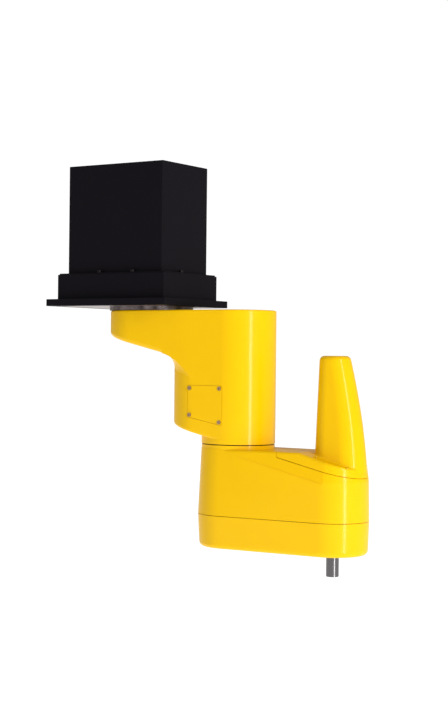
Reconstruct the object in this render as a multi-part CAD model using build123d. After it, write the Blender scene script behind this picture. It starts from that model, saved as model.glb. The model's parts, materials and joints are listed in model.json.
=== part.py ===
"""Ceiling-hung SCARA robot arm, in millimetres, +Z up.

Frame: the origin is the centre of the mounting flange's upper face, the face that bolts up
against the ceiling plate. +X runs from the base towards the tool with both links straight.
Everything above the flange is the fixed base; everything below it moves.
"""
import os
from math import asin, atan2, cos, degrees, hypot, radians, sin, tan

from build123d import *

# ---------------------------------------------------------------- driving dimensions
LINK_LENGTH = 175          # both links, axis to axis
J1_X = 30                  # first axis, ahead of the flange's centre
J2_X = J1_X + LINK_LENGTH
J3_X = J2_X + LINK_LENGTH  # tool shaft axis
STYLE_ANGLE = 13.4         # slope shared by the undersides, the creases and the horn cover
RUNNING_FIT = 0.05         # radial clearance of a turning or sliding fit
SMALL_SCREW_R = 1.5        # M3, shank radius
SMALL_HOLE_R = 1.6         # clearance hole for it

# base
PLATE_X, PLATE_Y, PLATE_T = 244.5, 185.5, 11.5
SKIRT_X, SKIRT_Y, SKIRT_H = 219.5, 155.5, 41.4
BOX_X, BOX_Y, BOX_TOP = 193.5, 131.5, 224
CASTING_WALL = 6
SHEET = 2
MOUNT_HOLE_R = 3.3
MOUNT_SPACING_X, MOUNT_SPACING_Y = 230, 171
CLOSING_PLATE_X, CLOSING_PLATE_Y, CLOSING_PLATE_T = 212, 152, 3
J1_BOSS_R, J1_BOSS_H, J1_BORE_R = 62, 12, 50
PANEL_Y, PANEL_Z, PANEL_T, PANEL_HEIGHT = 100, 84, 2.5, 120

# first joint and link 1
J1_COLLAR_R, J1_COLLAR_BORE_R = 70, 46
LINK1_TOP = -18.7
JOINT_GAP = 0.5
LINK1_R1, LINK1_R2 = 68, 59.5         # end radii at the first and second axes
UNDERSIDE_Z = -73                     # height of the sloping underside at the first axis
COLUMN_X = 153.6                      # centre of the column's rounded end
COLUMN_FOOT_Z = -215.4                # height of the column's sloping foot at that centre
J2_JOINT_Z = -233.4                   # middle of the gap between the links
JOINT_HALF_GAP = 0.8
THROAT_R = 27                         # hollow blend between underside and column
BLEND_BITE = 0.1                      # how far a blend starts inside its neighbours, so that they cross
ARM_EDGE_R, TOP_EDGE_R, FOOT_EDGE_R = 8, 2.5, 5
ACCESS_COVER_T = 2.5

# link 2
SEAM_Z = -345.2                       # split between casting and bottom cover
SEAM_GAP = 0.8
LINK2_BOTTOM = -398
DECK_Z = -240                         # flat deck beside the neck
DECK_BREAK_X, LEDGE_ANGLE = 345, 15.5  # where the deck starts to fall towards the tip, and how fast
LINK2_WALL = 5
COVER_WALL = 3
HORN_TOP, HORN_FOOT = -90.4, -270
HORN_EDGE_R, HORN_FOOT_R = 8, 4
WEB_TOP, WEB_T = -322, 8
MOTOR_X, MOTOR_Y = J3_X - 75, 23

# tool shaft and its two nuts
SHAFT_R, SHAFT_BORE_R = 10, 7
SHAFT_BOTTOM, SHAFT_TOP = -432.7, -98
BALL_NUT_R, SPLINE_NUT_R = 15.5, 14.5
DRIVEN_PULLEY_R, MOTOR_PULLEY_R = 26, 10
BELT_T, BELT_W = 1.5, 6
J3_BELT_Z, J4_BELT_Z = -338, -354


# ---------------------------------------------------------------- shared shapes
def disc(x, y, z_low, z_high, radius, bore=0):
    """Upright cylinder or ring between two heights."""
    shape = Pos(x, y, z_low) * extrude(Circle(radius), z_high - z_low)
    if bore:
        shape -= Pos(x, y, z_low) * extrude(Circle(bore), z_high - z_low)
    return shape


def block(x_low, x_high, y_low, y_high, z_low, z_high):
    """Box given by its limits."""
    size = (x_high - x_low, y_high - y_low, z_high - z_low)
    middle = ((x_low + x_high) / 2, (y_low + y_high) / 2, (z_low + z_high) / 2)
    return Pos(*middle) * Box(*size)


def centred_block(size_x, size_y, z_low, z_high):
    """Box centred on the Z axis."""
    return block(-size_x / 2, size_x / 2, -size_y / 2, size_y / 2, z_low, z_high)


def two_circle_outline(x_a, radius_a, x_b, radius_b, z=0):
    """Flat face at height z: two circles on the X axis wrapped by a tight band."""
    lean = asin((radius_a - radius_b) / (x_b - x_a))
    top_a = (x_a + radius_a * sin(lean), radius_a * cos(lean))
    top_b = (x_b + radius_b * sin(lean), radius_b * cos(lean))
    low_a = (top_a[0], -top_a[1])
    low_b = (top_b[0], -top_b[1])
    edges = [
        Line(top_a, top_b),
        ThreePointArc(top_b, (x_b + radius_b, 0), low_b),
        Line(low_b, low_a),
        ThreePointArc(low_a, (x_a - radius_a, 0), top_a),
    ]
    return Pos(0, 0, z) * make_face(edges)


def two_circle_prism(x_a, radius_a, x_b, radius_b, z_low, z_high):
    return extrude(two_circle_outline(x_a, radius_a, x_b, radius_b, z_low), z_high - z_low)


def side_prism(points, half_width=150):
    """Closed outline of (x, z) points, swept across the whole width in Y."""
    outline = make_face(Polyline(*points, close=True))
    return extrude(Plane.XZ * outline, half_width, both=True)


def cap_screw(shank_r, head_r, head_h, length):
    """Socket-head screw: the head stands on z = 0 and the shank runs down."""
    screw = disc(0, 0, 0, head_h, head_r) + disc(0, 0, -length, 0, shank_r)
    socket = Pos(0, 0, head_h * 0.4) * extrude(RegularPolygon(head_r * 0.5, 6), head_h)
    return screw - socket


def at_each(shape, places):
    """One copy of the shape at each (x, y, z), kept as separate solids."""
    return Compound(children=[Pos(*place) * shape for place in places])


def belt_outline(centre_a, radius_a, centre_b, radius_b):
    """Band wrapped round two circles anywhere in the XY plane."""
    span = hypot(centre_b[0] - centre_a[0], centre_b[1] - centre_a[1])
    heading = degrees(atan2(centre_b[1] - centre_a[1], centre_b[0] - centre_a[0]))
    return Pos(*centre_a) * Rot(0, 0, heading) * two_circle_outline(0, radius_a, span, radius_b)


# ---------------------------------------------------------------- base
COVER_SCREW_X, COVER_SCREW_Y = (-26, 42), 71.5     # on the ledge along the long sides
SIDE_SCREW_X, SIDE_SCREW_Y = 103, -20              # on the ledge along the short sides
COVER_SCREW_PLACES = [
    (x, y, SKIRT_H + SHEET)
    for x, y in [(x, y) for x in COVER_SCREW_X for y in (-COVER_SCREW_Y, COVER_SCREW_Y)]
    + [(-SIDE_SCREW_X, SIDE_SCREW_Y), (SIDE_SCREW_X, SIDE_SCREW_Y)]
]
CLOSING_SCREW_INSET, CLOSING_HEAD_R, CLOSING_HEAD_H = 8, 3, 2
PANEL_WINDOW_INSET = 8
CLOSING_SCREW_PLACES = [
    (x, y, -PLATE_T + CLOSING_HEAD_H)
    for x in (-CLOSING_PLATE_X / 2 + CLOSING_SCREW_INSET, CLOSING_PLATE_X / 2 - CLOSING_SCREW_INSET)
    for y in (-CLOSING_PLATE_Y / 2 + CLOSING_SCREW_INSET, 0, CLOSING_PLATE_Y / 2 - CLOSING_SCREW_INSET)
]
MOUNT_HOLE_PLACES = [
    (x, y)
    for x in (-MOUNT_SPACING_X / 2, 0, MOUNT_SPACING_X / 2)
    for y in (-MOUNT_SPACING_Y / 2, MOUNT_SPACING_Y / 2)
]
PANEL_SCREW_INSET = 4
PANEL_SCREW_PLACES = [
    (y, PANEL_HEIGHT + z)
    for y in (-PANEL_Y / 2 + PANEL_SCREW_INSET, PANEL_Y / 2 - PANEL_SCREW_INSET)
    for z in (-PANEL_Z / 2 + PANEL_SCREW_INSET, PANEL_Z / 2 - PANEL_SCREW_INSET)
]
CLOSING_TOP = -PLATE_T + CLOSING_PLATE_T
COVER_SCREW_R, COVER_HOLE_R = 2, 2.1


def base_flange():
    """Mounting plate and raised skirt in one casting, with the first joint's boss inside."""
    plate = centred_block(PLATE_X, PLATE_Y, -PLATE_T, 0)
    plate = fillet(plate.edges().filter_by(Axis.Z), 2)
    plate = chamfer(plate.faces().sort_by(Axis.Z)[-1].edges(), 0.5)
    skirt = centred_block(SKIRT_X, SKIRT_Y, 0, SKIRT_H)
    skirt = fillet(skirt.edges().filter_by(Axis.Z), 2)
    skirt = chamfer(skirt.faces().sort_by(Axis.Z)[-1].edges(), 0.5)
    walls = 2 * CASTING_WALL
    inside = centred_block(SKIRT_X - walls, SKIRT_Y - walls, 0, SKIRT_H - CASTING_WALL)
    mouth = centred_block(BOX_X - walls, BOX_Y - walls, 0, SKIRT_H)
    casting = plate + (skirt - inside - mouth)
    casting += disc(J1_X, 0, 0, J1_BOSS_H, J1_BOSS_R)
    casting -= disc(J1_X, 0, -PLATE_T, J1_BOSS_H, J1_BORE_R)
    pocket = centred_block(CLOSING_PLATE_X + 1, CLOSING_PLATE_Y + 1, -PLATE_T, CLOSING_TOP)
    casting -= pocket - disc(J1_X, 0, -PLATE_T, CLOSING_TOP, J1_BOSS_R)
    for x, y in MOUNT_HOLE_PLACES:
        casting -= disc(x, y, -PLATE_T, 0, MOUNT_HOLE_R)
    for x, y, _ in CLOSING_SCREW_PLACES:
        casting -= disc(x, y, -PLATE_T, -2, SMALL_HOLE_R)
    for x, y, _ in COVER_SCREW_PLACES:
        casting -= disc(x, y, SKIRT_H - CASTING_WALL, SKIRT_H, COVER_HOLE_R)
    return casting


def flange_closing_plate():
    """Machined plate let into the flange's underside, round the first joint."""
    plate = centred_block(CLOSING_PLATE_X, CLOSING_PLATE_Y, -PLATE_T, CLOSING_TOP)
    plate = fillet(plate.edges().filter_by(Axis.Z), 1)
    plate -= disc(J1_X, 0, -PLATE_T, 0, J1_BOSS_R + 0.5)
    for x, y, z in CLOSING_SCREW_PLACES:
        plate -= disc(x, y, -PLATE_T, z, CLOSING_HEAD_R)
        plate -= disc(x, y, -PLATE_T, 0, SMALL_HOLE_R)
    return plate


def closing_plate_screws():
    """Six small screws, heads sunk in the closing plate's underside."""
    screw = Rot(180, 0, 0) * cap_screw(SMALL_SCREW_R, CLOSING_HEAD_R - 0.2, CLOSING_HEAD_H, 6)
    return at_each(screw, CLOSING_SCREW_PLACES)


def base_cover():
    """Tall sheet-metal box with a turned-out foot on the skirt's ledge."""
    box = centred_block(BOX_X, BOX_Y, SKIRT_H, BOX_TOP)
    box = fillet(box.edges().filter_by(Axis.Z), 2.5)
    box = fillet(box.faces().sort_by(Axis.Z)[-1].edges(), 1.2)
    foot = centred_block(SKIRT_X - 4, SKIRT_Y - 4, SKIRT_H, SKIRT_H + SHEET)
    foot = fillet(foot.edges().filter_by(Axis.Z), 2)
    inside = centred_block(BOX_X - 2 * SHEET, BOX_Y - 2 * SHEET, SKIRT_H, BOX_TOP - SHEET)
    half_y = PANEL_Y / 2 - PANEL_WINDOW_INSET
    half_z = PANEL_Z / 2 - PANEL_WINDOW_INSET
    low, high = PANEL_HEIGHT - half_z, PANEL_HEIGHT + half_z
    window = block(-BOX_X / 2, -BOX_X / 2 + SHEET, -half_y, half_y, low, high)
    cover = box + foot - inside - window
    for x, y, z in COVER_SCREW_PLACES:
        cover -= disc(x, y, SKIRT_H, z, COVER_HOLE_R)
    for y, z in PANEL_SCREW_PLACES:
        cover -= Pos(-BOX_X / 2, y, z) * Rot(0, 90, 0) * disc(0, 0, 0, SHEET, SMALL_HOLE_R)
    return cover


def base_cover_screws():
    """Six cap screws that hold the box down on the skirt's ledge."""
    return at_each(cap_screw(COVER_SCREW_R, 3.7, 4, 7), COVER_SCREW_PLACES)


# connector panel, inlets and air ports, all on the back of the box
INLET_HEIGHT = PANEL_HEIGHT + 16
POWER_INLET_Y, SIGNAL_INLET_Y = 25, -20
PIN_R, PIN_LOW, PIN_HIGH, PIN_CIRCLE_R = 1.2, 6, 14, 6.5
AIR_PORT_Y = (-6, 12, 30)
AIR_PORT_HEIGHT = PANEL_HEIGHT - 24
AIR_TUBE_R = 3


def to_panel(shape, y, z):
    """Turns a shape standing on z = 0 so that it stands out of the connector panel."""
    return Pos(-BOX_X / 2 - PANEL_T, y, z) * Rot(0, -90, 0) * shape


def connector_panel():
    """Plate on the back of the box that carries the inlets."""
    low, high = PANEL_HEIGHT - PANEL_Z / 2, PANEL_HEIGHT + PANEL_Z / 2
    plate = block(-BOX_X / 2 - PANEL_T, -BOX_X / 2, -PANEL_Y / 2, PANEL_Y / 2, low, high)
    plate = fillet(plate.edges().filter_by(Axis.X), 3)
    for y, z in PANEL_SCREW_PLACES:
        plate -= to_panel(disc(0, 0, -PANEL_T, 0, SMALL_HOLE_R), y, z)
    return plate


def connector_panel_screws():
    screw = cap_screw(SMALL_SCREW_R, 2.8, 2.5, 6)
    return Compound(children=[to_panel(screw, y, z) for y, z in PANEL_SCREW_PLACES])


def power_inlet():
    """Round inlet: a flange and a hollow barrel."""
    shell = disc(0, 0, 0, 3, 17) + disc(0, 0, 3, 20, 14) - disc(0, 0, PIN_LOW, 20, 12)
    return to_panel(shell, POWER_INLET_Y, INLET_HEIGHT)


def power_inlet_pins():
    """Seven contacts on the floor of the round inlet, one in the middle."""
    pin = disc(0, 0, PIN_LOW, PIN_HIGH, PIN_R)
    ring = [Rot(0, 0, 60 * turn) * Pos(PIN_CIRCLE_R, 0, 0) * pin for turn in range(6)]
    return Compound(children=[to_panel(one, POWER_INLET_Y, INLET_HEIGHT) for one in [pin] + ring])


def signal_inlet():
    """Rectangular inlet with a raised, hollow shell."""
    body = centred_block(34, 44, 0, 4)
    shell = fillet(centred_block(20, 34, 4, 14).edges().filter_by(Axis.Z), 3)
    shell -= fillet(centred_block(17, 31, 6, 14).edges().filter_by(Axis.Z), 2)
    return to_panel(body + shell, SIGNAL_INLET_Y, INLET_HEIGHT)


def air_fittings():
    """Three push-in air fittings, each a hexagon, a body and a release ring."""
    fitting = extrude(RegularPolygon(6.5, 6), 5) + disc(0, 0, 5, 13, 5.5) + disc(0, 0, 13, 15, 4.8)
    fitting -= disc(0, 0, 6, 15, AIR_TUBE_R + RUNNING_FIT)
    return Compound(children=[to_panel(fitting, y, AIR_PORT_HEIGHT) for y in AIR_PORT_Y])


# ---------------------------------------------------------------- drives of the first two joints
def motor(x, y, z_base, side, height, cap_side, cap_height, bore_r=0, bore_depth=0):
    """Square servo motor standing on z_base, with a smaller encoder cap on top."""
    body = Pos(x, y, z_base + height / 2) * Box(side, side, height)
    body = chamfer(body.edges().filter_by(Axis.Z), side * 0.08)
    cap = Pos(x, y, z_base + height + cap_height / 2) * Box(cap_side, cap_side, cap_height)
    body += chamfer(cap.edges().filter_by(Axis.Z), cap_side * 0.06)
    if bore_r:
        body -= disc(x, y, z_base, z_base + bore_depth, bore_r)
    return body


J1_GEAR_TOP = 46
J1_BEARING_Z = (-8, 8)
J2_GEAR_TOP = -190
J2_FLOOR_TOP = -222
LINK1_BOTTOM = J2_JOINT_Z + JOINT_HALF_GAP
LINK2_TOP = J2_JOINT_Z - JOINT_HALF_GAP
J2_BORE_R, J2_CAVITY_R = 40, 34
J2_BEARING_Z = (LINK2_TOP + 3.2, LINK2_TOP + 16)


def j1_gear_housing():
    """Strain-wave gear housing: pilot in the boss, flange on top of it, gear case above."""
    housing = disc(J1_X, 0, -PLATE_T, J1_BOSS_H, J1_BORE_R)
    housing += disc(J1_X, 0, J1_BOSS_H, J1_BOSS_H + CASTING_WALL, J1_BOSS_R)
    housing += disc(J1_X, 0, J1_BOSS_H + CASTING_WALL, J1_GEAR_TOP, J1_BORE_R + 2)
    return housing - disc(J1_X, 0, -PLATE_T, 10, 44)


def j1_motor():
    return motor(J1_X, 0, J1_GEAR_TOP, 80, 92, 62, 30)


def j1_collar():
    """Dark ring under the flange that hides the first joint's bearing."""
    return disc(J1_X, 0, LINK1_TOP + JOINT_GAP, -PLATE_T, J1_COLLAR_R, J1_COLLAR_BORE_R)


def j1_bearing_outer_ring():
    return disc(J1_X, 0, *J1_BEARING_Z, 44, 38)


def j1_bearing_inner_ring():
    return disc(J1_X, 0, *J1_BEARING_Z, 37, 30)


def j1_output_flange():
    """Hub in the bearing and the disc that carries link 1."""
    return disc(J1_X, 0, LINK1_TOP, -12, 45) + disc(J1_X, 0, -12, J1_BEARING_Z[1], 30)


def j2_gear_housing():
    housing = disc(J2_X, 0, LINK1_BOTTOM, J2_FLOOR_TOP, J2_BORE_R)
    housing += disc(J2_X, 0, J2_FLOOR_TOP, J2_FLOOR_TOP + CASTING_WALL, J2_BORE_R + 9)
    housing += disc(J2_X, 0, J2_FLOOR_TOP + CASTING_WALL, J2_GEAR_TOP, J2_BORE_R + 2)
    return housing - disc(J2_X, 0, LINK1_BOTTOM, J2_BEARING_Z[1] + 2, J2_CAVITY_R)


def j2_motor():
    return motor(J2_X, 0, J2_GEAR_TOP, 60, 78, 50, 26)


def j2_joint_ring():
    """Dark ring that closes the gap between the links."""
    return disc(J2_X, 0, LINK1_BOTTOM - 1.2, LINK1_BOTTOM, 57.5, 45)


def j2_bearing_outer_ring():
    return disc(J2_X, 0, *J2_BEARING_Z, J2_CAVITY_R, 28.5)


def j2_bearing_inner_ring():
    return disc(J2_X, 0, *J2_BEARING_Z, 27.5, 20)


def j2_output_flange():
    """Hub in the bearing and the disc that carries link 2."""
    return disc(J2_X, 0, LINK2_TOP, LINK2_TOP + 3, 33) + disc(J2_X, 0, LINK2_TOP + 3, J2_BEARING_Z[1], 20)


# ---------------------------------------------------------------- link 1
LEAN = radians(STYLE_ANGLE)
SLOPE = tan(LEAN)
FAR_LEFT, FAR_RIGHT, FAR_DOWN = -150, 450, -600    # limits of the cutting prisms


def arm_radius(x):
    """Half width of link 1 at a place between its two axes."""
    return LINK1_R1 + (LINK1_R2 - LINK1_R1) * (x - J1_X) / LINK_LENGTH


def below_slope(x, z):
    """Everything under the styling slope that passes through (x, z)."""
    return side_prism([
        (FAR_LEFT, z - SLOPE * (FAR_LEFT - x)),
        (FAR_RIGHT, z - SLOPE * (FAR_RIGHT - x)),
        (FAR_RIGHT, FAR_DOWN),
        (FAR_LEFT, FAR_DOWN),
    ])


def link1_arm(inset):
    """Upper arm over both axes, every face moved inwards by the inset."""
    bar = two_circle_prism(J1_X, LINK1_R1 - inset, J2_X, LINK1_R2 - inset, LINK1_BOTTOM, LINK1_TOP - inset)
    arm = bar - below_slope(J1_X, UNDERSIDE_Z + inset)
    if inset:
        return arm
    arm = fillet(arm.faces().sort_by(Axis.Z)[0].edges(), ARM_EDGE_R)
    return fillet(arm.faces().sort_by(Axis.Z)[-1].edges(), TOP_EDGE_R)


def link1_column(inset):
    """Tall rounded column under the second axis, with a sloping foot and a round neck."""
    radius = arm_radius(COLUMN_X) - inset
    floor = J2_FLOOR_TOP if inset else LINK1_BOTTOM
    top = LINK1_TOP - 20
    column = two_circle_prism(COLUMN_X, radius, J2_X, LINK1_R2 - inset, floor, top)
    column -= below_slope(COLUMN_X, COLUMN_FOOT_Z + inset)
    if not inset:
        foot = column.faces().filter_by(Plane.XY, reverse=True).sort_by(Axis.Z)[0]
        column = fillet(foot.edges(), FOOT_EDGE_R)
    return column + disc(J2_X, 0, floor, top, LINK1_R2 - inset)


def link1_throat():
    """Hollow blend where the column's rounded end meets the sloping underside.

    A tube of the blend's radius runs in the corner, touching both, and what lies behind it is kept.
    """
    radius = arm_radius(COLUMN_X)
    reach = radius + THROAT_R - BLEND_BITE
    z_meet = UNDERSIDE_Z - SLOPE * (COLUMN_X - J1_X)
    z_centre = z_meet - (THROAT_R - BLEND_BITE) / cos(LEAN)
    downhill = (cos(LEAN), 0, -sin(LEAN))
    corner = Plane(origin=(COLUMN_X, 0, z_centre), x_dir=downhill, z_dir=(sin(LEAN), 0, cos(LEAN)))
    path = corner * EllipticalCenterArc((0, 0), reach / cos(LEAN), reach, 80, arc_size=200)
    tube = sweep(Plane(origin=path @ 0, z_dir=path % 0) * Circle(THROAT_R), path)
    behind = disc(COLUMN_X + THROAT_R * sin(LEAN), 0, -200, LINK1_TOP - 20, radius + THROAT_R)
    behind &= block(FAR_LEFT, COLUMN_X, -150, 150, -200, 0)
    behind = behind - below_slope(COLUMN_X, z_centre) - tube
    return behind & two_circle_prism(J1_X, LINK1_R1, J2_X, LINK1_R2, -200, LINK1_TOP)


def link1_outer():
    return link1_arm(0) + link1_column(0) + link1_throat()


ACCESS_X = (146.5, 210.5)
ACCESS_TOP = -140
ACCESS_LOW = (-190, -202.6)            # lower edge at its left and right ends
ACCESS_GAP, ACCESS_LIP = 0.5, 7
ACCESS_SCREWS = [(151, -144.3), (206, -144.3), (151, -187), (206, -197.6)]
ACCESS_HEAD_R, ACCESS_HEAD_H = 3.2, 1.6


def access_window(gap):
    """Prism through the front wall with the access cover's outline, grown by the gap."""
    left, right = ACCESS_X[0] - gap, ACCESS_X[1] + gap
    points = [
        (left, ACCESS_TOP + gap),
        (right, ACCESS_TOP + gap),
        (right, ACCESS_LOW[1] - gap),
        (left, ACCESS_LOW[0] - gap),
    ]
    outline = make_face(Polyline(*points, close=True))
    outline = fillet(outline.vertices(), 3)
    return extrude(Plane.XZ * outline, 100)


def column_skin(depth):
    """Solid inside the column's walls, down to the given depth under their outer faces."""
    radius = arm_radius(COLUMN_X) - depth
    return two_circle_prism(COLUMN_X, radius, J2_X, LINK1_R2 - depth, -260, -100)


def access_screw_place(x):
    """Y of the front wall's outer face at x, on the straight stretch or the rounded end."""
    if x >= COLUMN_X:
        return -arm_radius(x)
    radius = arm_radius(COLUMN_X)
    return -(radius ** 2 - (COLUMN_X - x) ** 2) ** 0.5


def to_access_cover(shape, x, z):
    """Turns a shape standing on z = 0 so that it stands out of the front wall."""
    return Pos(x, access_screw_place(x), z) * Rot(90, 0, 0) * shape


def link1_casting():
    """Hollow casting: arm, column and neck, open at the access window and the two joints."""
    outer = link1_outer()
    inner = link1_arm(CASTING_WALL) + link1_column(CASTING_WALL)
    casting = outer - inner
    casting -= access_window(ACCESS_GAP) - column_skin(ACCESS_COVER_T)
    casting -= access_window(-ACCESS_LIP) & block(100, 260, -100, 0, -250, -100)
    casting -= disc(J2_X, 0, LINK1_BOTTOM, J2_FLOOR_TOP, J2_BORE_R)
    for x, z in ACCESS_SCREWS:
        casting -= to_access_cover(disc(0, 0, -6, 0, SMALL_HOLE_R), x, z)
    return casting


def link1_access_cover():
    """Thin cover, flush in its window, that follows the column's front wall."""
    cover = (column_skin(0) - column_skin(ACCESS_COVER_T)) & access_window(0)
    hole = disc(0, 0, -6, 1, SMALL_HOLE_R) + disc(0, 0, 0, 3, ACCESS_HEAD_R + 0.1)
    for x, z in ACCESS_SCREWS:
        cover -= to_access_cover(hole, x, z)
    return cover


def access_cover_screws():
    screw = cap_screw(SMALL_SCREW_R, ACCESS_HEAD_R, ACCESS_HEAD_H, 5)
    return Compound(children=[to_access_cover(screw, x, z) for x, z in ACCESS_SCREWS])


# ---------------------------------------------------------------- link 2
LINK2_TOP_R, LINK2_TIP_R = 59.4, 54.3      # outline radii at the deck
SEAM_R, SEAM_TIP_R = 64, 56.2              # outline radii at the lower seam
BOTTOM_R, BOTTOM_TIP_R = 61.2, 54.4        # outline radii at the very bottom
NECK_R = 59
HORN_EDGE_X, HORN_SEAM_Z = 309, -248       # left end of the horn cover's seam
TIP_X = J3_X + 60
CREASE_X, CREASE_Z = 217, -244.9           # left end of the crease on the side walls
CREASE_STRIP, CREASE_BITE = 3, 0.3         # narrow facet along it: width, and depth where it starts
FACET_LEANS = (3, 7)                       # lean of that facet and of the wall above it
TIP_LEAN_Z = CREASE_Z - SLOPE * (J3_X - CREASE_X)    # where the tip's rounded wall starts to lean too
RIM_R = 4                                  # rounding along the deck and the ledge
HORN_R = (22.9, 29.8)                      # radius at its top and its foot
HORN_STRETCH = (1.6, 25.3)                 # how much longer than round it is there
HORN_SWELL = 1.7                           # how fast it lengthens below the top
HORN_SCREWS = [(369, 37), (369, -37), (420, 30), (420, -30)]
POST_BOTTOM, POST_RIB_T = -292, 3          # lower end of the posts under them, and their ribs
HORN_HEAD_R, HORN_SCREW_SINK = 3.2, 1.6
BOSS_R = 5
BOTTOM_SCREWS = [(J2_X - 45, 0), (290, 45), (290, -45), (J3_X + 48, 0)]
BOTTOM_SCREW_SEAT = SEAM_Z - 10
SEAL_R = 13.5


def link2_body(inset):
    """Upper body of link 2, drafted and leaning above the crease, every wall moved inwards."""
    top = two_circle_outline(J2_X, LINK2_TOP_R - inset, J3_X, LINK2_TIP_R - inset, DECK_Z)
    low = two_circle_outline(J2_X, SEAM_R - inset, J3_X, SEAM_TIP_R - inset, SEAM_Z)
    body = loft([low, top], ruled=True)
    for facet in side_facets(inset) + [tip_facet(inset)]:
        body -= facet
    return body


def ledge_z(x):
    """Height of the deck, or of the ledge that falls away towards the tip."""
    return DECK_Z - tan(radians(LEDGE_ANGLE)) * max(0, x - DECK_BREAK_X)


def above_deck():
    return side_prism([(0, DECK_Z), (DECK_BREAK_X, DECK_Z), (TIP_X, ledge_z(TIP_X)), (TIP_X, 0), (0, 0)])


def above_seam(drop=0.0):
    """Everything above the horn cover's sloping seam, moved down by the drop."""
    seam_z = HORN_SEAM_Z - drop
    return side_prism([
        (HORN_EDGE_X - drop, 0),
        (HORN_EDGE_X - drop, seam_z),
        (TIP_X, seam_z - (TIP_X - HORN_EDGE_X) * SLOPE),
        (TIP_X, 0),
    ])


def side_facets(inset):
    """Wedges that lean the upper side walls inwards above a sloping crease."""
    wall_lean = degrees(atan2(LINK2_TOP_R - LINK2_TIP_R, LINK_LENGTH))
    wedge = Pos(60, 60, 60) * Box(400, 120, 120)
    facets = []
    for step, lean in enumerate(FACET_LEANS):
        rise = step * CREASE_STRIP
        inwards = rise * tan(radians(FACET_LEANS[0]))
        corner = Pos(CREASE_X, LINK2_TOP_R - CREASE_BITE - inwards - inset, CREASE_Z + rise)
        facets.append(corner * Rot(0, 0, -wall_lean) * Rot(0, STYLE_ANGLE, 0) * Rot(lean, 0, 0) * wedge)
    return facets + [mirror(facet, Plane.XZ) for facet in facets]


def tip_facet(inset):
    """What the leaning rounded wall at the tip leaves out."""
    height = DECK_Z - TIP_LEAN_Z
    low_r = LINK2_TIP_R + (SEAM_TIP_R - LINK2_TIP_R) * height / (DECK_Z - SEAM_Z) - inset
    high_r = low_r - height * tan(radians(FACET_LEANS[-1]))
    low_ring = Pos(J3_X, 0, TIP_LEAN_Z) * Circle(low_r)
    high_ring = Pos(J3_X, 0, DECK_Z) * Circle(high_r)
    cone = loft([low_ring, high_ring], ruled=True)
    return block(J3_X, TIP_X, -100, 100, TIP_LEAN_Z, DECK_Z) - cone


def horn_section(z, wall):
    """Level slot through the horn at height z: the shape lengthens towards the tip lower down."""
    depth = (HORN_TOP - z) / (HORN_TOP - HORN_FOOT)
    radius = HORN_R[0] + (HORN_R[1] - HORN_R[0]) * depth - wall
    swell = 1 - (1 - depth) ** HORN_SWELL
    stretch = HORN_STRETCH[0] + (HORN_STRETCH[1] - HORN_STRETCH[0]) * swell
    return Pos(J3_X + stretch / 2, 0, z) * SlotCenterToCenter(stretch, 2 * radius)


def horn_tower(wall):
    """Tall tapering cover round the shaft, every wall moved inwards."""
    top = HORN_TOP - wall
    levels = [HORN_FOOT + (top - HORN_FOOT) * step / 6 for step in range(7)]
    tower = loft([horn_section(z, wall) for z in levels])
    return fillet(tower.faces().sort_by(Axis.Z)[-1].edges(), HORN_EDGE_R - wall)


def horn_bosses():
    """Four upright posts under the horn cover's screws, each tied to the side wall by a rib."""
    posts = []
    for x, y in HORN_SCREWS:
        half_rib = POST_RIB_T / 2
        rib = block(x - half_rib, x + half_rib, min(y, 2 * y), max(y, 2 * y), POST_BOTTOM, 0)
        posts.append(disc(x, y, POST_BOTTOM, 0, BOSS_R) + rib)
    return Compound(children=posts)


def rim_edges(body, x_low, x_high):
    """Outer edges of the deck and the ledge between two places along the arm."""
    edges = []
    for top in body.faces().sort_by(Axis.Z)[-2:]:
        for edge in top.edges():
            middle = edge.center()
            if x_low < middle.X < x_high and (abs(middle.Y) > 20 or middle.X > J3_X + 20):
                edges.append(edge)
    return edges


def link2_shell():
    """Whole outside of link 2 above the lower seam, without neck and horn."""
    shell = link2_body(0) - above_deck()
    return fillet(rim_edges(shell, J2_X + 5, TIP_X), RIM_R)


def foot_edges(body):
    """Edges where the horn stands on the deck and the ledge."""
    reach = HORN_R[1] + 1
    return [
        edge for edge in body.edges()
        if edge.bounding_box().min.Z > ledge_z(J3_X + 48) - 1
        and edge.bounding_box().max.Z < DECK_Z - 0.1
        and abs(edge.center().Y) < reach
        and edge.length > 2 * HORN_FOOT_R
    ]


def horn_cover():
    """Cover over the tool end: flush walls above the seam, a falling ledge and the horn."""
    shell = link2_shell()
    outside = shell + horn_tower(0)
    outside = fillet(foot_edges(outside), HORN_FOOT_R)
    inside = link2_body(COVER_WALL) - Pos(0, 0, -COVER_WALL) * above_deck()
    cover = (outside & above_seam()) - inside
    cover += shell & above_seam() & horn_bosses()
    cover -= horn_tower(COVER_WALL)
    for x, y in HORN_SCREWS:
        seat = ledge_z(x) - HORN_SCREW_SINK
        cover -= disc(x, y, seat, seat + 6, HORN_HEAD_R + 0.2)
        cover -= disc(x, y, POST_BOTTOM, seat, SMALL_HOLE_R)
    return cover


def horn_cover_screws():
    screw = cap_screw(SMALL_SCREW_R, HORN_HEAD_R, 2.2, 18)
    return at_each(screw, [(x, y, ledge_z(x) - HORN_SCREW_SINK) for x, y in HORN_SCREWS])


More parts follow.
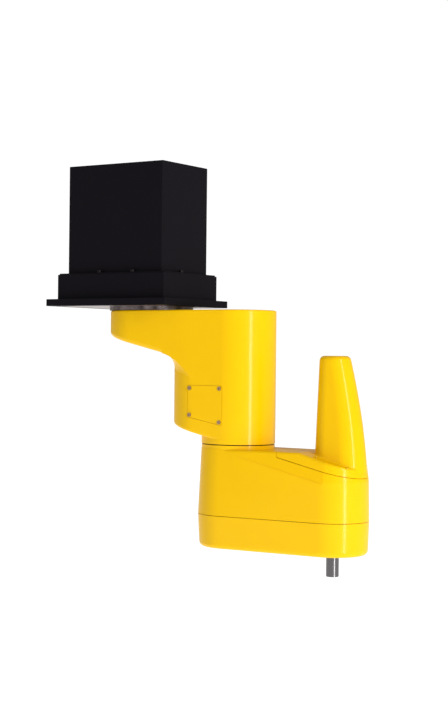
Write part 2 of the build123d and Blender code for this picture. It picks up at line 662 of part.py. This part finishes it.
def link2_casting():
    """Upper casting of link 2: neck, deck, walls and the web that carries the drives."""
    body = link2_shell() - above_seam(SEAM_GAP)
    neck = disc(J2_X, 0, -262, LINK2_TOP, NECK_R)
    ceiling = DECK_Z - LINK2_WALL
    stay = HORN_EDGE_X + 6
    inner = link2_body(LINK2_WALL) - side_prism([(0, ceiling), (stay, ceiling), (stay, 0), (0, 0)])
    casting = body + neck - inner + (body & horn_bosses())
    for x, y in HORN_SCREWS:
        casting -= disc(x, y, POST_BOTTOM + 4, 0, SMALL_HOLE_R)
    for x, y in BOTTOM_SCREWS:
        casting += disc(x, y, SEAM_Z, WEB_TOP - WEB_T, BOSS_R)
        casting -= disc(x, y, SEAM_Z, SEAM_Z + 12, SMALL_HOLE_R)
    floor = WEB_TOP - WEB_T
    web = two_circle_prism(J2_X, SEAM_R - LINK2_WALL, J3_X, SEAM_TIP_R - LINK2_WALL, floor, WEB_TOP)
    web -= disc(J3_X, 0, floor, WEB_TOP, BALL_BEARING_R)
    for y in (MOTOR_Y, -MOTOR_Y):
        web -= disc(MOTOR_X, y, floor, WEB_TOP, 12)
    return casting + (web & link2_body(1))


def bottom_pan(inset, z_low):
    """Drafted pan under the seam, every wall moved inwards by the inset."""
    z_top = SEAM_Z - SEAM_GAP
    top = two_circle_outline(J2_X, SEAM_R - inset, J3_X, SEAM_TIP_R - inset, z_top)
    low = two_circle_outline(J2_X, BOTTOM_R - inset, J3_X, BOTTOM_TIP_R - inset, z_low)
    return loft([low, top], ruled=True)


def link2_bottom_cover():
    """Pan under the casting, with rounded lower edges and the shaft's opening."""
    z_top = SEAM_Z - SEAM_GAP
    outer = bottom_pan(0, LINK2_BOTTOM)
    outer = fillet(outer.faces().sort_by(Axis.Z)[0].edges(), 8)
    cover = outer - bottom_pan(COVER_WALL, LINK2_BOTTOM + COVER_WALL)
    for x, y in BOTTOM_SCREWS:
        cover += outer & disc(x, y, LINK2_BOTTOM, z_top, BOSS_R)
        cover -= disc(x, y, LINK2_BOTTOM, BOTTOM_SCREW_SEAT, 3.2)
        cover -= disc(x, y, BOTTOM_SCREW_SEAT, z_top, SMALL_HOLE_R)
    return cover - disc(J3_X, 0, LINK2_BOTTOM, LINK2_BOTTOM + COVER_WALL, SEAL_R)


def bottom_cover_screws():
    """Four screws deep in the bottom cover's posts."""
    screw = Rot(180, 0, 0) * cap_screw(SMALL_SCREW_R, 2.8, 3, 18)
    return at_each(screw, [(x, y, BOTTOM_SCREW_SEAT) for x, y in BOTTOM_SCREWS])


def shaft_seal_ring():
    """Dark ring in the bottom cover's opening, with a lip below it."""
    return disc(J3_X, 0, LINK2_BOTTOM - 3, LINK2_BOTTOM + COVER_WALL, SEAL_R, SHAFT_R + 0.3)


# ---------------------------------------------------------------- drives of the tool shaft
MOTOR_SHAFT_R = 4
BALL_BEARING_R, SPLINE_BEARING_R = 20, 19
BALL_NUT_Z = (-345, -264)
SPLINE_NUT_Z = (-390, -348)
BRACKET_Z = (-384, -376)
NUT_LIFT = 0.3                             # running gap between a nut's flange and its bearing


def tool_motor(y):
    """Small servo motor on the web, bored for the end of its shaft."""
    return motor(MOTOR_X, y, WEB_TOP, 40, 44, 34, 16, MOTOR_SHAFT_R + RUNNING_FIT, 12)


def motor_shaft(y, z_belt):
    return disc(MOTOR_X, y, z_belt - 5, WEB_TOP + 10, MOTOR_SHAFT_R)


def pulley(x, y, z_belt, radius, bore):
    """Belt pulley with a thin flange each side of the belt."""
    half = BELT_W / 2 + 0.5
    wheel = disc(x, y, z_belt - half, z_belt + half, radius)
    wheel += disc(x, y, z_belt - half - 1, z_belt - half, radius + BELT_T)
    wheel += disc(x, y, z_belt + half, z_belt + half + 1, radius + BELT_T)
    return wheel - disc(x, y, z_belt - half - 1, z_belt + half + 1, bore)


def belt(y, z_belt):
    """Belt from the shaft's pulley to a motor's pulley, just clear of both."""
    driven, driving = DRIVEN_PULLEY_R + 0.1, MOTOR_PULLEY_R + 0.1
    outer = belt_outline((J3_X, 0), driven + BELT_T, (MOTOR_X, y), driving + BELT_T)
    inner = belt_outline((J3_X, 0), driven, (MOTOR_X, y), driving)
    return Pos(0, 0, z_belt - BELT_W / 2) * extrude(outer - inner, BELT_W)


def spline_nut_bracket():
    """Plate on three posts under the web, which holds the spline nut's bearing."""
    plate = disc(J3_X, 0, *BRACKET_Z, 42, SPLINE_BEARING_R)
    for turn in (0, 75, -75):
        x, y = J3_X + 36 * cos(radians(turn)), 36 * sin(radians(turn))
        plate += disc(x, y, BRACKET_Z[1], WEB_TOP - WEB_T, 4.5)
    return plate


def ball_nut_bearing():
    return disc(J3_X, 0, WEB_TOP - WEB_T, WEB_TOP, BALL_BEARING_R, BALL_NUT_R + RUNNING_FIT)


def spline_nut_bearing():
    return disc(J3_X, 0, *BRACKET_Z, SPLINE_BEARING_R, SPLINE_NUT_R + RUNNING_FIT)


def nut(ends, radius, seat, flange_r):
    """Nut on the shaft: a plain body with a flange just above its bearing."""
    body = disc(J3_X, 0, *ends, radius) + disc(J3_X, 0, seat + NUT_LIFT, seat + 6, flange_r)
    return body - disc(J3_X, 0, *ends, SHAFT_R + RUNNING_FIT)


def tool_shaft():
    """Hollow ball-screw spline shaft; a shallow relief marks off the tool end."""
    shaft = disc(J3_X, 0, SHAFT_BOTTOM, SHAFT_TOP, SHAFT_R)
    shaft = chamfer(shaft.faces().sort_by(Axis.Z)[0].edges(), 1.5)
    shaft -= disc(J3_X, 0, SHAFT_BOTTOM, SHAFT_TOP, SHAFT_BORE_R)
    relief = SHAFT_BOTTOM + 31
    return shaft - disc(J3_X, 0, relief, relief + 1.5, SHAFT_R + 1, SHAFT_R - 0.25)


def upper_stop_collar():
    return disc(J3_X, 0, SHAFT_TOP - 14, SHAFT_TOP - 2, 13, SHAFT_R)


NODES = {
    "base_flange": base_flange,
    "flange_closing_plate": flange_closing_plate,
    "closing_plate_screws": closing_plate_screws,
    "base_cover": base_cover,
    "base_cover_screws": base_cover_screws,
    "connector_panel": connector_panel,
    "connector_panel_screws": connector_panel_screws,
    "power_inlet": power_inlet,
    "power_inlet_pins": power_inlet_pins,
    "signal_inlet": signal_inlet,
    "air_fittings": air_fittings,
    "j1_motor": j1_motor,
    "j1_gear_housing": j1_gear_housing,
    "j1_bearing_outer_ring": j1_bearing_outer_ring,
    "j1_collar": j1_collar,
    "j1_output_flange": j1_output_flange,
    "j1_bearing_inner_ring": j1_bearing_inner_ring,
    "link1_casting": link1_casting,
    "link1_access_cover": link1_access_cover,
    "access_cover_screws": access_cover_screws,
    "j2_motor": j2_motor,
    "j2_gear_housing": j2_gear_housing,
    "j2_bearing_outer_ring": j2_bearing_outer_ring,
    "j2_joint_ring": j2_joint_ring,
    "j2_output_flange": j2_output_flange,
    "j2_bearing_inner_ring": j2_bearing_inner_ring,
    "link2_casting": link2_casting,
    "link2_bottom_cover": link2_bottom_cover,
    "bottom_cover_screws": bottom_cover_screws,
    "horn_cover": horn_cover,
    "horn_cover_screws": horn_cover_screws,
    "shaft_seal_ring": shaft_seal_ring,
    "j3_motor": lambda: tool_motor(MOTOR_Y),
    "j4_motor": lambda: tool_motor(-MOTOR_Y),
    "j3_belt": lambda: belt(MOTOR_Y, J3_BELT_Z),
    "j4_belt": lambda: belt(-MOTOR_Y, J4_BELT_Z),
    "spline_nut_bracket": spline_nut_bracket,
    "ball_nut_bearing": ball_nut_bearing,
    "spline_nut_bearing": spline_nut_bearing,
    "ball_nut": lambda: nut(BALL_NUT_Z, BALL_NUT_R, WEB_TOP, 22),
    "j3_driven_pulley": lambda: pulley(J3_X, 0, J3_BELT_Z, DRIVEN_PULLEY_R, BALL_NUT_R),
    "spline_nut": lambda: nut(SPLINE_NUT_Z, SPLINE_NUT_R, BRACKET_Z[1], 18),
    "j4_driven_pulley": lambda: pulley(J3_X, 0, J4_BELT_Z, DRIVEN_PULLEY_R, SPLINE_NUT_R),
    "j3_motor_pulley": lambda: pulley(MOTOR_X, MOTOR_Y, J3_BELT_Z, MOTOR_PULLEY_R, MOTOR_SHAFT_R),
    "j3_motor_shaft": lambda: motor_shaft(MOTOR_Y, J3_BELT_Z),
    "j4_motor_pulley": lambda: pulley(MOTOR_X, -MOTOR_Y, J4_BELT_Z, MOTOR_PULLEY_R, MOTOR_SHAFT_R),
    "j4_motor_shaft": lambda: motor_shaft(-MOTOR_Y, J4_BELT_Z),
    "tool_shaft": tool_shaft,
    "upper_stop_collar": upper_stop_collar,
}

os.makedirs("parts", exist_ok=True)
for name, make in NODES.items():
    export_step(make(), f"parts/{name}.step")
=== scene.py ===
"""Looks of the ceiling-hung SCARA robot arm: materials, shaft detail, studio and camera. Metres."""
import json
from math import cos, pi, radians, sin, sqrt, tau

import bmesh
import bpy
from mathutils import Matrix, Vector


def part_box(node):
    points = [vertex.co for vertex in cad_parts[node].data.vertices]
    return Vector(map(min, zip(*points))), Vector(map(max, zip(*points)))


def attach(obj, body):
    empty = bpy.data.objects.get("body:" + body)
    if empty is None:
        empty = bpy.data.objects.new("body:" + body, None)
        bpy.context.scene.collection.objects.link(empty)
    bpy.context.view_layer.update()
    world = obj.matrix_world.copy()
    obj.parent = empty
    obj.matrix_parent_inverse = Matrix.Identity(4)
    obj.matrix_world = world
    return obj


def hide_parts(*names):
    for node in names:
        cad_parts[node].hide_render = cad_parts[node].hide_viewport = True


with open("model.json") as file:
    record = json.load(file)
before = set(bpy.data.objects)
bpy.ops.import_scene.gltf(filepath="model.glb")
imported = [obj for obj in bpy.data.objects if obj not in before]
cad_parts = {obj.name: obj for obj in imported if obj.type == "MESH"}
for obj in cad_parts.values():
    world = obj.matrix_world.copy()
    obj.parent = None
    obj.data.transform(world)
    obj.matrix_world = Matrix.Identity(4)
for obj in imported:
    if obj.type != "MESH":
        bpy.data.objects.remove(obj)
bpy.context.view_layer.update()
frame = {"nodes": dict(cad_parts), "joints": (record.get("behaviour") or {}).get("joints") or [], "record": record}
MM = 0.001


# ---------------------------------------------------------------- places worked out from the frame
def joint_axis(name):
    """Point that a hinge turns about."""
    joint = next(j for j in frame["joints"] if j["name"] == name)
    return Vector(joint["pos_m"])


J1_AXIS = joint_axis("j1_base_swing")
TOOL_AXIS = joint_axis("j4_tool_turn")


# ---------------------------------------------------------------- material helpers
def new_material(name):
    """Principled material with nodes; returns the material, its tree and its shader."""
    material = bpy.data.materials.new(name)
    material.use_nodes = True
    tree = material.node_tree
    return material, tree, tree.nodes["Principled BSDF"]


def object_coordinates(tree, scale=(1, 1, 1)):
    """Object coordinates in metres, stretched by the scale."""
    source = tree.nodes.new("ShaderNodeTexCoord")
    mapping = tree.nodes.new("ShaderNodeMapping")
    mapping.inputs["Scale"].default_value = scale
    tree.links.new(source.outputs["Object"], mapping.inputs["Vector"])
    return mapping.outputs["Vector"]


def noise(tree, vector, size, detail=3.0, roughness=0.5):
    """Noise whose blobs are about the given size in metres."""
    node = tree.nodes.new("ShaderNodeTexNoise")
    node.inputs["Scale"].default_value = 1 / size
    node.inputs["Detail"].default_value = detail
    node.inputs["Roughness"].default_value = roughness
    tree.links.new(vector, node.inputs["Vector"])
    return node.outputs["Fac"]


NOISE_LOW, NOISE_HIGH = 0.3, 0.7      # most of a noise texture's values lie between these


def spread(tree, value, low, high):
    """Noise value stretched from its usual range to the given one."""
    node = tree.nodes.new("ShaderNodeMapRange")
    node.inputs["From Min"].default_value = NOISE_LOW
    node.inputs["From Max"].default_value = NOISE_HIGH
    node.inputs["To Min"].default_value = low
    node.inputs["To Max"].default_value = high
    tree.links.new(value, node.inputs["Value"])
    return node.outputs["Result"]


def two_tones(tree, value, dark, light):
    """Colour that runs from dark to light as the noise value rises."""
    ramp = tree.nodes.new("ShaderNodeValToRGB")
    ramp.color_ramp.elements[0].position = NOISE_LOW
    ramp.color_ramp.elements[0].color = (*dark, 1)
    ramp.color_ramp.elements[1].position = NOISE_HIGH
    ramp.color_ramp.elements[1].color = (*light, 1)
    tree.links.new(value, ramp.inputs["Fac"])
    return ramp.outputs["Color"]


def bump(tree, shader, height, depth, strength=1.0):
    """Bump of the given depth in metres on the shader's normal."""
    node = tree.nodes.new("ShaderNodeBump")
    node.inputs["Distance"].default_value = depth
    node.inputs["Strength"].default_value = strength
    tree.links.new(height, node.inputs["Height"])
    tree.links.new(node.outputs["Normal"], shader.inputs["Normal"])


def toned(colour, factor):
    return tuple(channel * factor for channel in colour)


# ---------------------------------------------------------------- materials
def gloss_paint(name, colour):
    """Glossy enamel: faint orange peel, faint cloudiness and a clear top layer."""
    material, tree, shader = new_material(name)
    vector = object_coordinates(tree)
    clouds = noise(tree, vector, 60 * MM, 2)
    tree.links.new(two_tones(tree, clouds, toned(colour, 0.975), colour), shader.inputs["Base Color"])
    peel = noise(tree, vector, 1.6 * MM, 2)
    tree.links.new(spread(tree, peel, 0.34, 0.42), shader.inputs["Roughness"])
    bump(tree, shader, peel, 0.02 * MM, 0.5)
    shader.inputs["Specular IOR Level"].default_value = 0.05
    shader.inputs["Coat Weight"].default_value = 0.22
    shader.inputs["Coat Roughness"].default_value = 0.14
    return material


BLACK_DARK, BLACK_LIGHT = (0.0052, 0.0042, 0.006), (0.0085, 0.007, 0.0098)


def satin_black_paint(name, grain):
    """Satin black with a fine leathery grain."""
    material, tree, shader = new_material(name)
    vector = object_coordinates(tree)
    texture = noise(tree, vector, grain, 4, 0.6)
    tree.links.new(two_tones(tree, texture, BLACK_DARK, BLACK_LIGHT), shader.inputs["Base Color"])
    tree.links.new(spread(tree, texture, 0.38, 0.5), shader.inputs["Roughness"])
    bump(tree, shader, texture, 0.03 * MM, 0.6)
    shader.inputs["Specular IOR Level"].default_value = 0.035
    return material


def metal(name, colour, roughness, grain_scale=(1, 1, 1), grain=0.6 * MM, dark=0.85):
    """Bare metal; a stretched grain shows how it was machined or brushed."""
    material, tree, shader = new_material(name)
    vector = object_coordinates(tree, grain_scale)
    lines = noise(tree, vector, grain, 3)
    tree.links.new(two_tones(tree, lines, toned(colour, dark), colour), shader.inputs["Base Color"])
    tree.links.new(spread(tree, lines, roughness * 0.8, roughness * 1.25), shader.inputs["Roughness"])
    bump(tree, shader, lines, 0.01 * MM, 0.5)
    shader.inputs["Metallic"].default_value = 1.0
    return material


def dull_solid(name, colour, roughness, grain=1.2 * MM):
    """Rubber, moulded plastic or anodised case: a fine even grain."""
    material, tree, shader = new_material(name)
    vector = object_coordinates(tree)
    texture = noise(tree, vector, grain, 4, 0.6)
    mottled = two_tones(tree, texture, toned(colour, 0.8), toned(colour, 1.15))
    tree.links.new(mottled, shader.inputs["Base Color"])
    tree.links.new(spread(tree, texture, roughness * 0.85, roughness * 1.15), shader.inputs["Roughness"])
    bump(tree, shader, texture, 0.05 * MM, 0.5)
    shader.inputs["Specular IOR Level"].default_value = 0.25
    return material


YELLOW = (0.92, 0.54, 0.0)
MATERIALS = {
    "yellow_paint": gloss_paint("yellow_enamel", YELLOW),
    "yellow_cover": gloss_paint("yellow_enamel_on_cover", YELLOW),
    "yellow_screws": gloss_paint("yellow_enamel_on_screws", toned(YELLOW, 0.7)),
    "black_paint": satin_black_paint("black_paint_on_casting", 1.5 * MM),
    "black_sheet": satin_black_paint("black_paint_on_sheet", 0.8 * MM),
    "machined_plate": metal("machined_aluminium", (0.42, 0.36, 0.36), 0.42, (1, 12, 1), 3 * MM, 0.6),
    # Ring metal in large patches, from near black to mid grey.
    "ring_metal": metal("ring_metal_in_dark_and_light_patches", (0.3, 0.25, 0.25), 0.42, (1, 1, 1), 18 * MM, 0.12),
    "dark_screws": metal("black_oxide_steel", (0.02, 0.018, 0.018), 0.5),
    "steel_screws": metal("zinc_plated_steel", (0.5, 0.5, 0.5), 0.35),
    "cover_screws": metal("dark_plated_steel", (0.5, 0.34, 0.22), 0.4),
    "panel_metal": metal("brushed_panel", (0.42, 0.42, 0.44), 0.38, (1, 1, 20), 4 * MM),
    "inlet_metal": metal("satin_nickel", (0.42, 0.42, 0.42), 0.3),
    "dark_plastic": dull_solid("dark_moulded_plastic", (0.02, 0.02, 0.02), 0.5),
    "air_fitting": metal("nickel_plated_brass", (0.5, 0.47, 0.38), 0.28),
    "motor_case": dull_solid("anodised_motor_case", (0.02, 0.02, 0.022), 0.45),
    "gear_steel": metal("turned_aluminium", (0.5, 0.5, 0.51), 0.35),
    "bearing_steel": metal("bearing_steel", (0.5, 0.5, 0.5), 0.22),
    "ground_steel": metal("ground_shaft_steel", (0.15, 0.145, 0.148), 0.24, (1, 1, 30), 4 * MM),
    "pulley_metal": metal("anodised_pulley", (0.45, 0.45, 0.46), 0.35),
    "belt_rubber": dull_solid("belt_rubber", (0.015, 0.015, 0.015), 0.7),
    # Seal colour pushed to near black: partly the black rubber's own colour, partly painted shade of the recessed
    # joint gap it fills.
    "seal_rubber": dull_solid("seal_rubber", (0.004, 0.003, 0.002), 0.7),
}

for part in frame["record"]["subparts"]:
    cad_node = frame["nodes"][part["node"]]
    cad_node.data.materials.clear()
    cad_node.data.materials.append(MATERIALS[part["material_slot"]])


# ---------------------------------------------------------------- grooved tool shaft
SHAFT_SIDES, SHAFT_RING_STEP = 144, 0.5 * MM
MOUNTS = {mount["name"]: mount for mount in frame["record"]["mounts"]}
SHAFT_BORE = MOUNTS["tool_shaft_bore"]["dims"]["r_mm"] * MM
SCREW_LEAD, SPLINES = 16 * MM, 3
GROOVE_DEPTH, GROOVE_HALF_WIDTH = 0.7 * MM, 1.7 * MM
PLAIN_FOOT, PLAIN_HEAD = 34 * MM, 24 * MM      # ungrooved lengths at the shaft's two ends
END_BEVEL = 0.5 * MM
SHARP_ANGLE = radians(30)


def nearest(value, period):
    """Distance from the value to the nearest whole multiple of the period."""
    return abs((value + period / 2) % period - period / 2)


def groove(distance):
    """Depth of a round-bottomed groove at a distance from its middle."""
    across = distance / GROOVE_HALF_WIDTH
    return GROOVE_DEPTH * sqrt(1 - across * across) if across < 1 else 0.0


def add_grooved_shaft():
    """Hollow tool shaft with one screw groove and three straight grooves crossing it."""
    low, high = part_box("tool_shaft")
    radius = (high[0] - low[0]) / 2
    centre_x, centre_y = (low[0] + high[0]) / 2, (low[1] + high[1]) / 2
    length = high[2] - low[2]
    rings = round(length / SHAFT_RING_STEP)
    work = bmesh.new()

    def ring(z, radius_at):
        verts = []
        for side in range(SHAFT_SIDES):
            angle = tau * side / SHAFT_SIDES
            r = radius_at(angle)
            verts.append(work.verts.new((centre_x + r * cos(angle), centre_y + r * sin(angle), z)))
        return verts

    def outer_radius(along):
        grooved = PLAIN_FOOT < along < length - PLAIN_HEAD

        def radius_at(angle):
            if not grooved:
                return radius
            straight = nearest(angle, tau / SPLINES) * radius
            helical = nearest(along - SCREW_LEAD * angle / tau, SCREW_LEAD)
            return radius - max(groove(straight), groove(helical))
        return radius_at

    loops = [ring(low[2], lambda angle: SHAFT_BORE), ring(low[2], lambda angle: radius - END_BEVEL)]
    for step in range(rings + 1):
        along = END_BEVEL + (length - 2 * END_BEVEL) * step / rings
        loops.append(ring(low[2] + along, outer_radius(along)))
    loops.append(ring(high[2], lambda angle: radius - END_BEVEL))
    loops.append(ring(high[2], lambda angle: SHAFT_BORE))
    for here, after in zip(loops, loops[1:] + loops[:1]):
        for side in range(SHAFT_SIDES):
            other = (side + 1) % SHAFT_SIDES
            work.faces.new((here[side], here[other], after[other], after[side]))
    bmesh.ops.recalc_face_normals(work, faces=work.faces)
    mesh = bpy.data.meshes.new("grooved_tool_shaft")
    work.to_mesh(mesh)
    work.free()
    mesh.shade_smooth()
    mesh.set_sharp_from_angle(angle=SHARP_ANGLE)
    mesh.materials.append(MATERIALS["ground_steel"])
    shaft = bpy.data.objects.new("grooved_tool_shaft", mesh)
    bpy.context.scene.collection.objects.link(shaft)
    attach(shaft, "tool_shaft_group")
    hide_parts("tool_shaft")


add_grooved_shaft()


# ---------------------------------------------------------------- camera
CAMERA_AZIMUTH = radians(32.87)       # to the right of straight ahead (+Y)
CAMERA_DISTANCE = 2.5247              # from the first axis, along the view
CAMERA_OFFSET = 0.1223                # the camera stands this far right of the first axis
CAMERA_HEIGHT = -0.0928               # below the mounting face
CAMERA_PITCH = radians(0.122)
CAMERA_ROLL = radians(0.6)
LENS_MM, SENSOR_MM = 76.7, 36

AHEAD = Vector((-sin(CAMERA_AZIMUTH), cos(CAMERA_AZIMUTH), 0))
RIGHT = Vector((cos(CAMERA_AZIMUTH), sin(CAMERA_AZIMUTH), 0))


def add_camera():
    data = bpy.data.cameras.new("camera")
    data.lens = LENS_MM
    data.sensor_fit = "VERTICAL"
    data.sensor_height = SENSOR_MM
    camera = bpy.data.objects.new("camera", data)
    bpy.context.scene.collection.objects.link(camera)
    place = Vector((J1_AXIS.x, J1_AXIS.y, CAMERA_HEIGHT)) - AHEAD * CAMERA_DISTANCE + RIGHT * CAMERA_OFFSET
    turn = Matrix.Rotation(CAMERA_AZIMUTH, 4, "Z") @ Matrix.Rotation(pi / 2 + CAMERA_PITCH, 4, "X")
    camera.matrix_world = Matrix.Translation(place) @ turn @ Matrix.Rotation(CAMERA_ROLL, 4, "Z")
    bpy.context.scene.camera = camera


add_camera()


# ---------------------------------------------------------------- studio
STAGE_CENTRE = Vector((TOOL_AXIS.x / 2, 0, -0.15))
FLOOR_Z = -0.9
FLOOR_RADIUS, FLOOR_SIDES = 14, 96
FLOOR_WHITE, FLOOR_ROUGHNESS = 0.92, 0.9
FLOOR_GLOW = 0.72                     # the floor gives off light of its own, so that it stays white


def add_floor():
    """Large pale disc well below the hanging arm."""
    mesh = bpy.data.meshes.new("studio_floor")
    work = bmesh.new()
    bmesh.ops.create_circle(work, cap_ends=True, segments=FLOOR_SIDES, radius=FLOOR_RADIUS)
    bmesh.ops.translate(work, verts=work.verts, vec=(0, 0, FLOOR_Z))
    work.to_mesh(mesh)
    work.free()
    floor = bpy.data.objects.new("studio_floor", mesh)
    bpy.context.scene.collection.objects.link(floor)
    material, _, shader = new_material("floor_white")
    shader.inputs["Base Color"].default_value = (FLOOR_WHITE, FLOOR_WHITE, FLOOR_WHITE, 1)
    shader.inputs["Roughness"].default_value = FLOOR_ROUGHNESS
    shader.inputs["Specular IOR Level"].default_value = 0.0
    shader.inputs["Emission Color"].default_value = (1, 1, 1, 1)
    shader.inputs["Emission Strength"].default_value = FLOOR_GLOW
    mesh.materials.append(material)


STRIP_ANGLE, STRIP_DISTANCE = 35, 2.6     # degrees right of the camera, metres from the arm
STRIP_SIZE, STRIP_WATTS = (0.34, 3.2), 62


def add_strip_softbox():
    """Tall narrow lamp that faces the arm and makes the upright highlights."""
    data = bpy.data.lights.new("strip_softbox", "AREA")
    data.shape = "RECTANGLE"
    data.size, data.size_y = STRIP_SIZE
    data.energy = STRIP_WATTS
    lamp = bpy.data.objects.new("strip_softbox", data)
    bpy.context.scene.collection.objects.link(lamp)
    towards = Matrix.Rotation(radians(STRIP_ANGLE), 3, "Z") @ (-AHEAD)
    lamp.location = STAGE_CENTRE + towards * STRIP_DISTANCE
    lamp.rotation_euler = (STAGE_CENTRE - lamp.location).to_track_quat("-Z", "Y").to_euler()


ROOM_LIGHT = 0.43                     # brightness of the room as the arm receives it
BACKDROP = 1.04                       # brightness of the same room as plain background, from any side


def add_world():
    """Even soft white room, shown as a clean white background whatever the view."""
    world = bpy.data.worlds.new("studio")
    world.use_nodes = True
    tree = world.node_tree
    background = tree.nodes["Background"]
    background.inputs["Color"].default_value = (1, 1, 1, 1)
    seen_directly = tree.nodes.new("ShaderNodeLightPath").outputs["Is Camera Ray"]
    level = tree.nodes.new("ShaderNodeMapRange")
    level.inputs["To Min"].default_value = ROOM_LIGHT
    level.inputs["To Max"].default_value = BACKDROP
    tree.links.new(seen_directly, level.inputs["Value"])
    tree.links.new(level.outputs["Result"], background.inputs["Strength"])
    bpy.context.scene.world = world


add_floor()
add_world()
add_strip_softbox()
bpy.context.scene.view_settings.view_transform = "Standard"
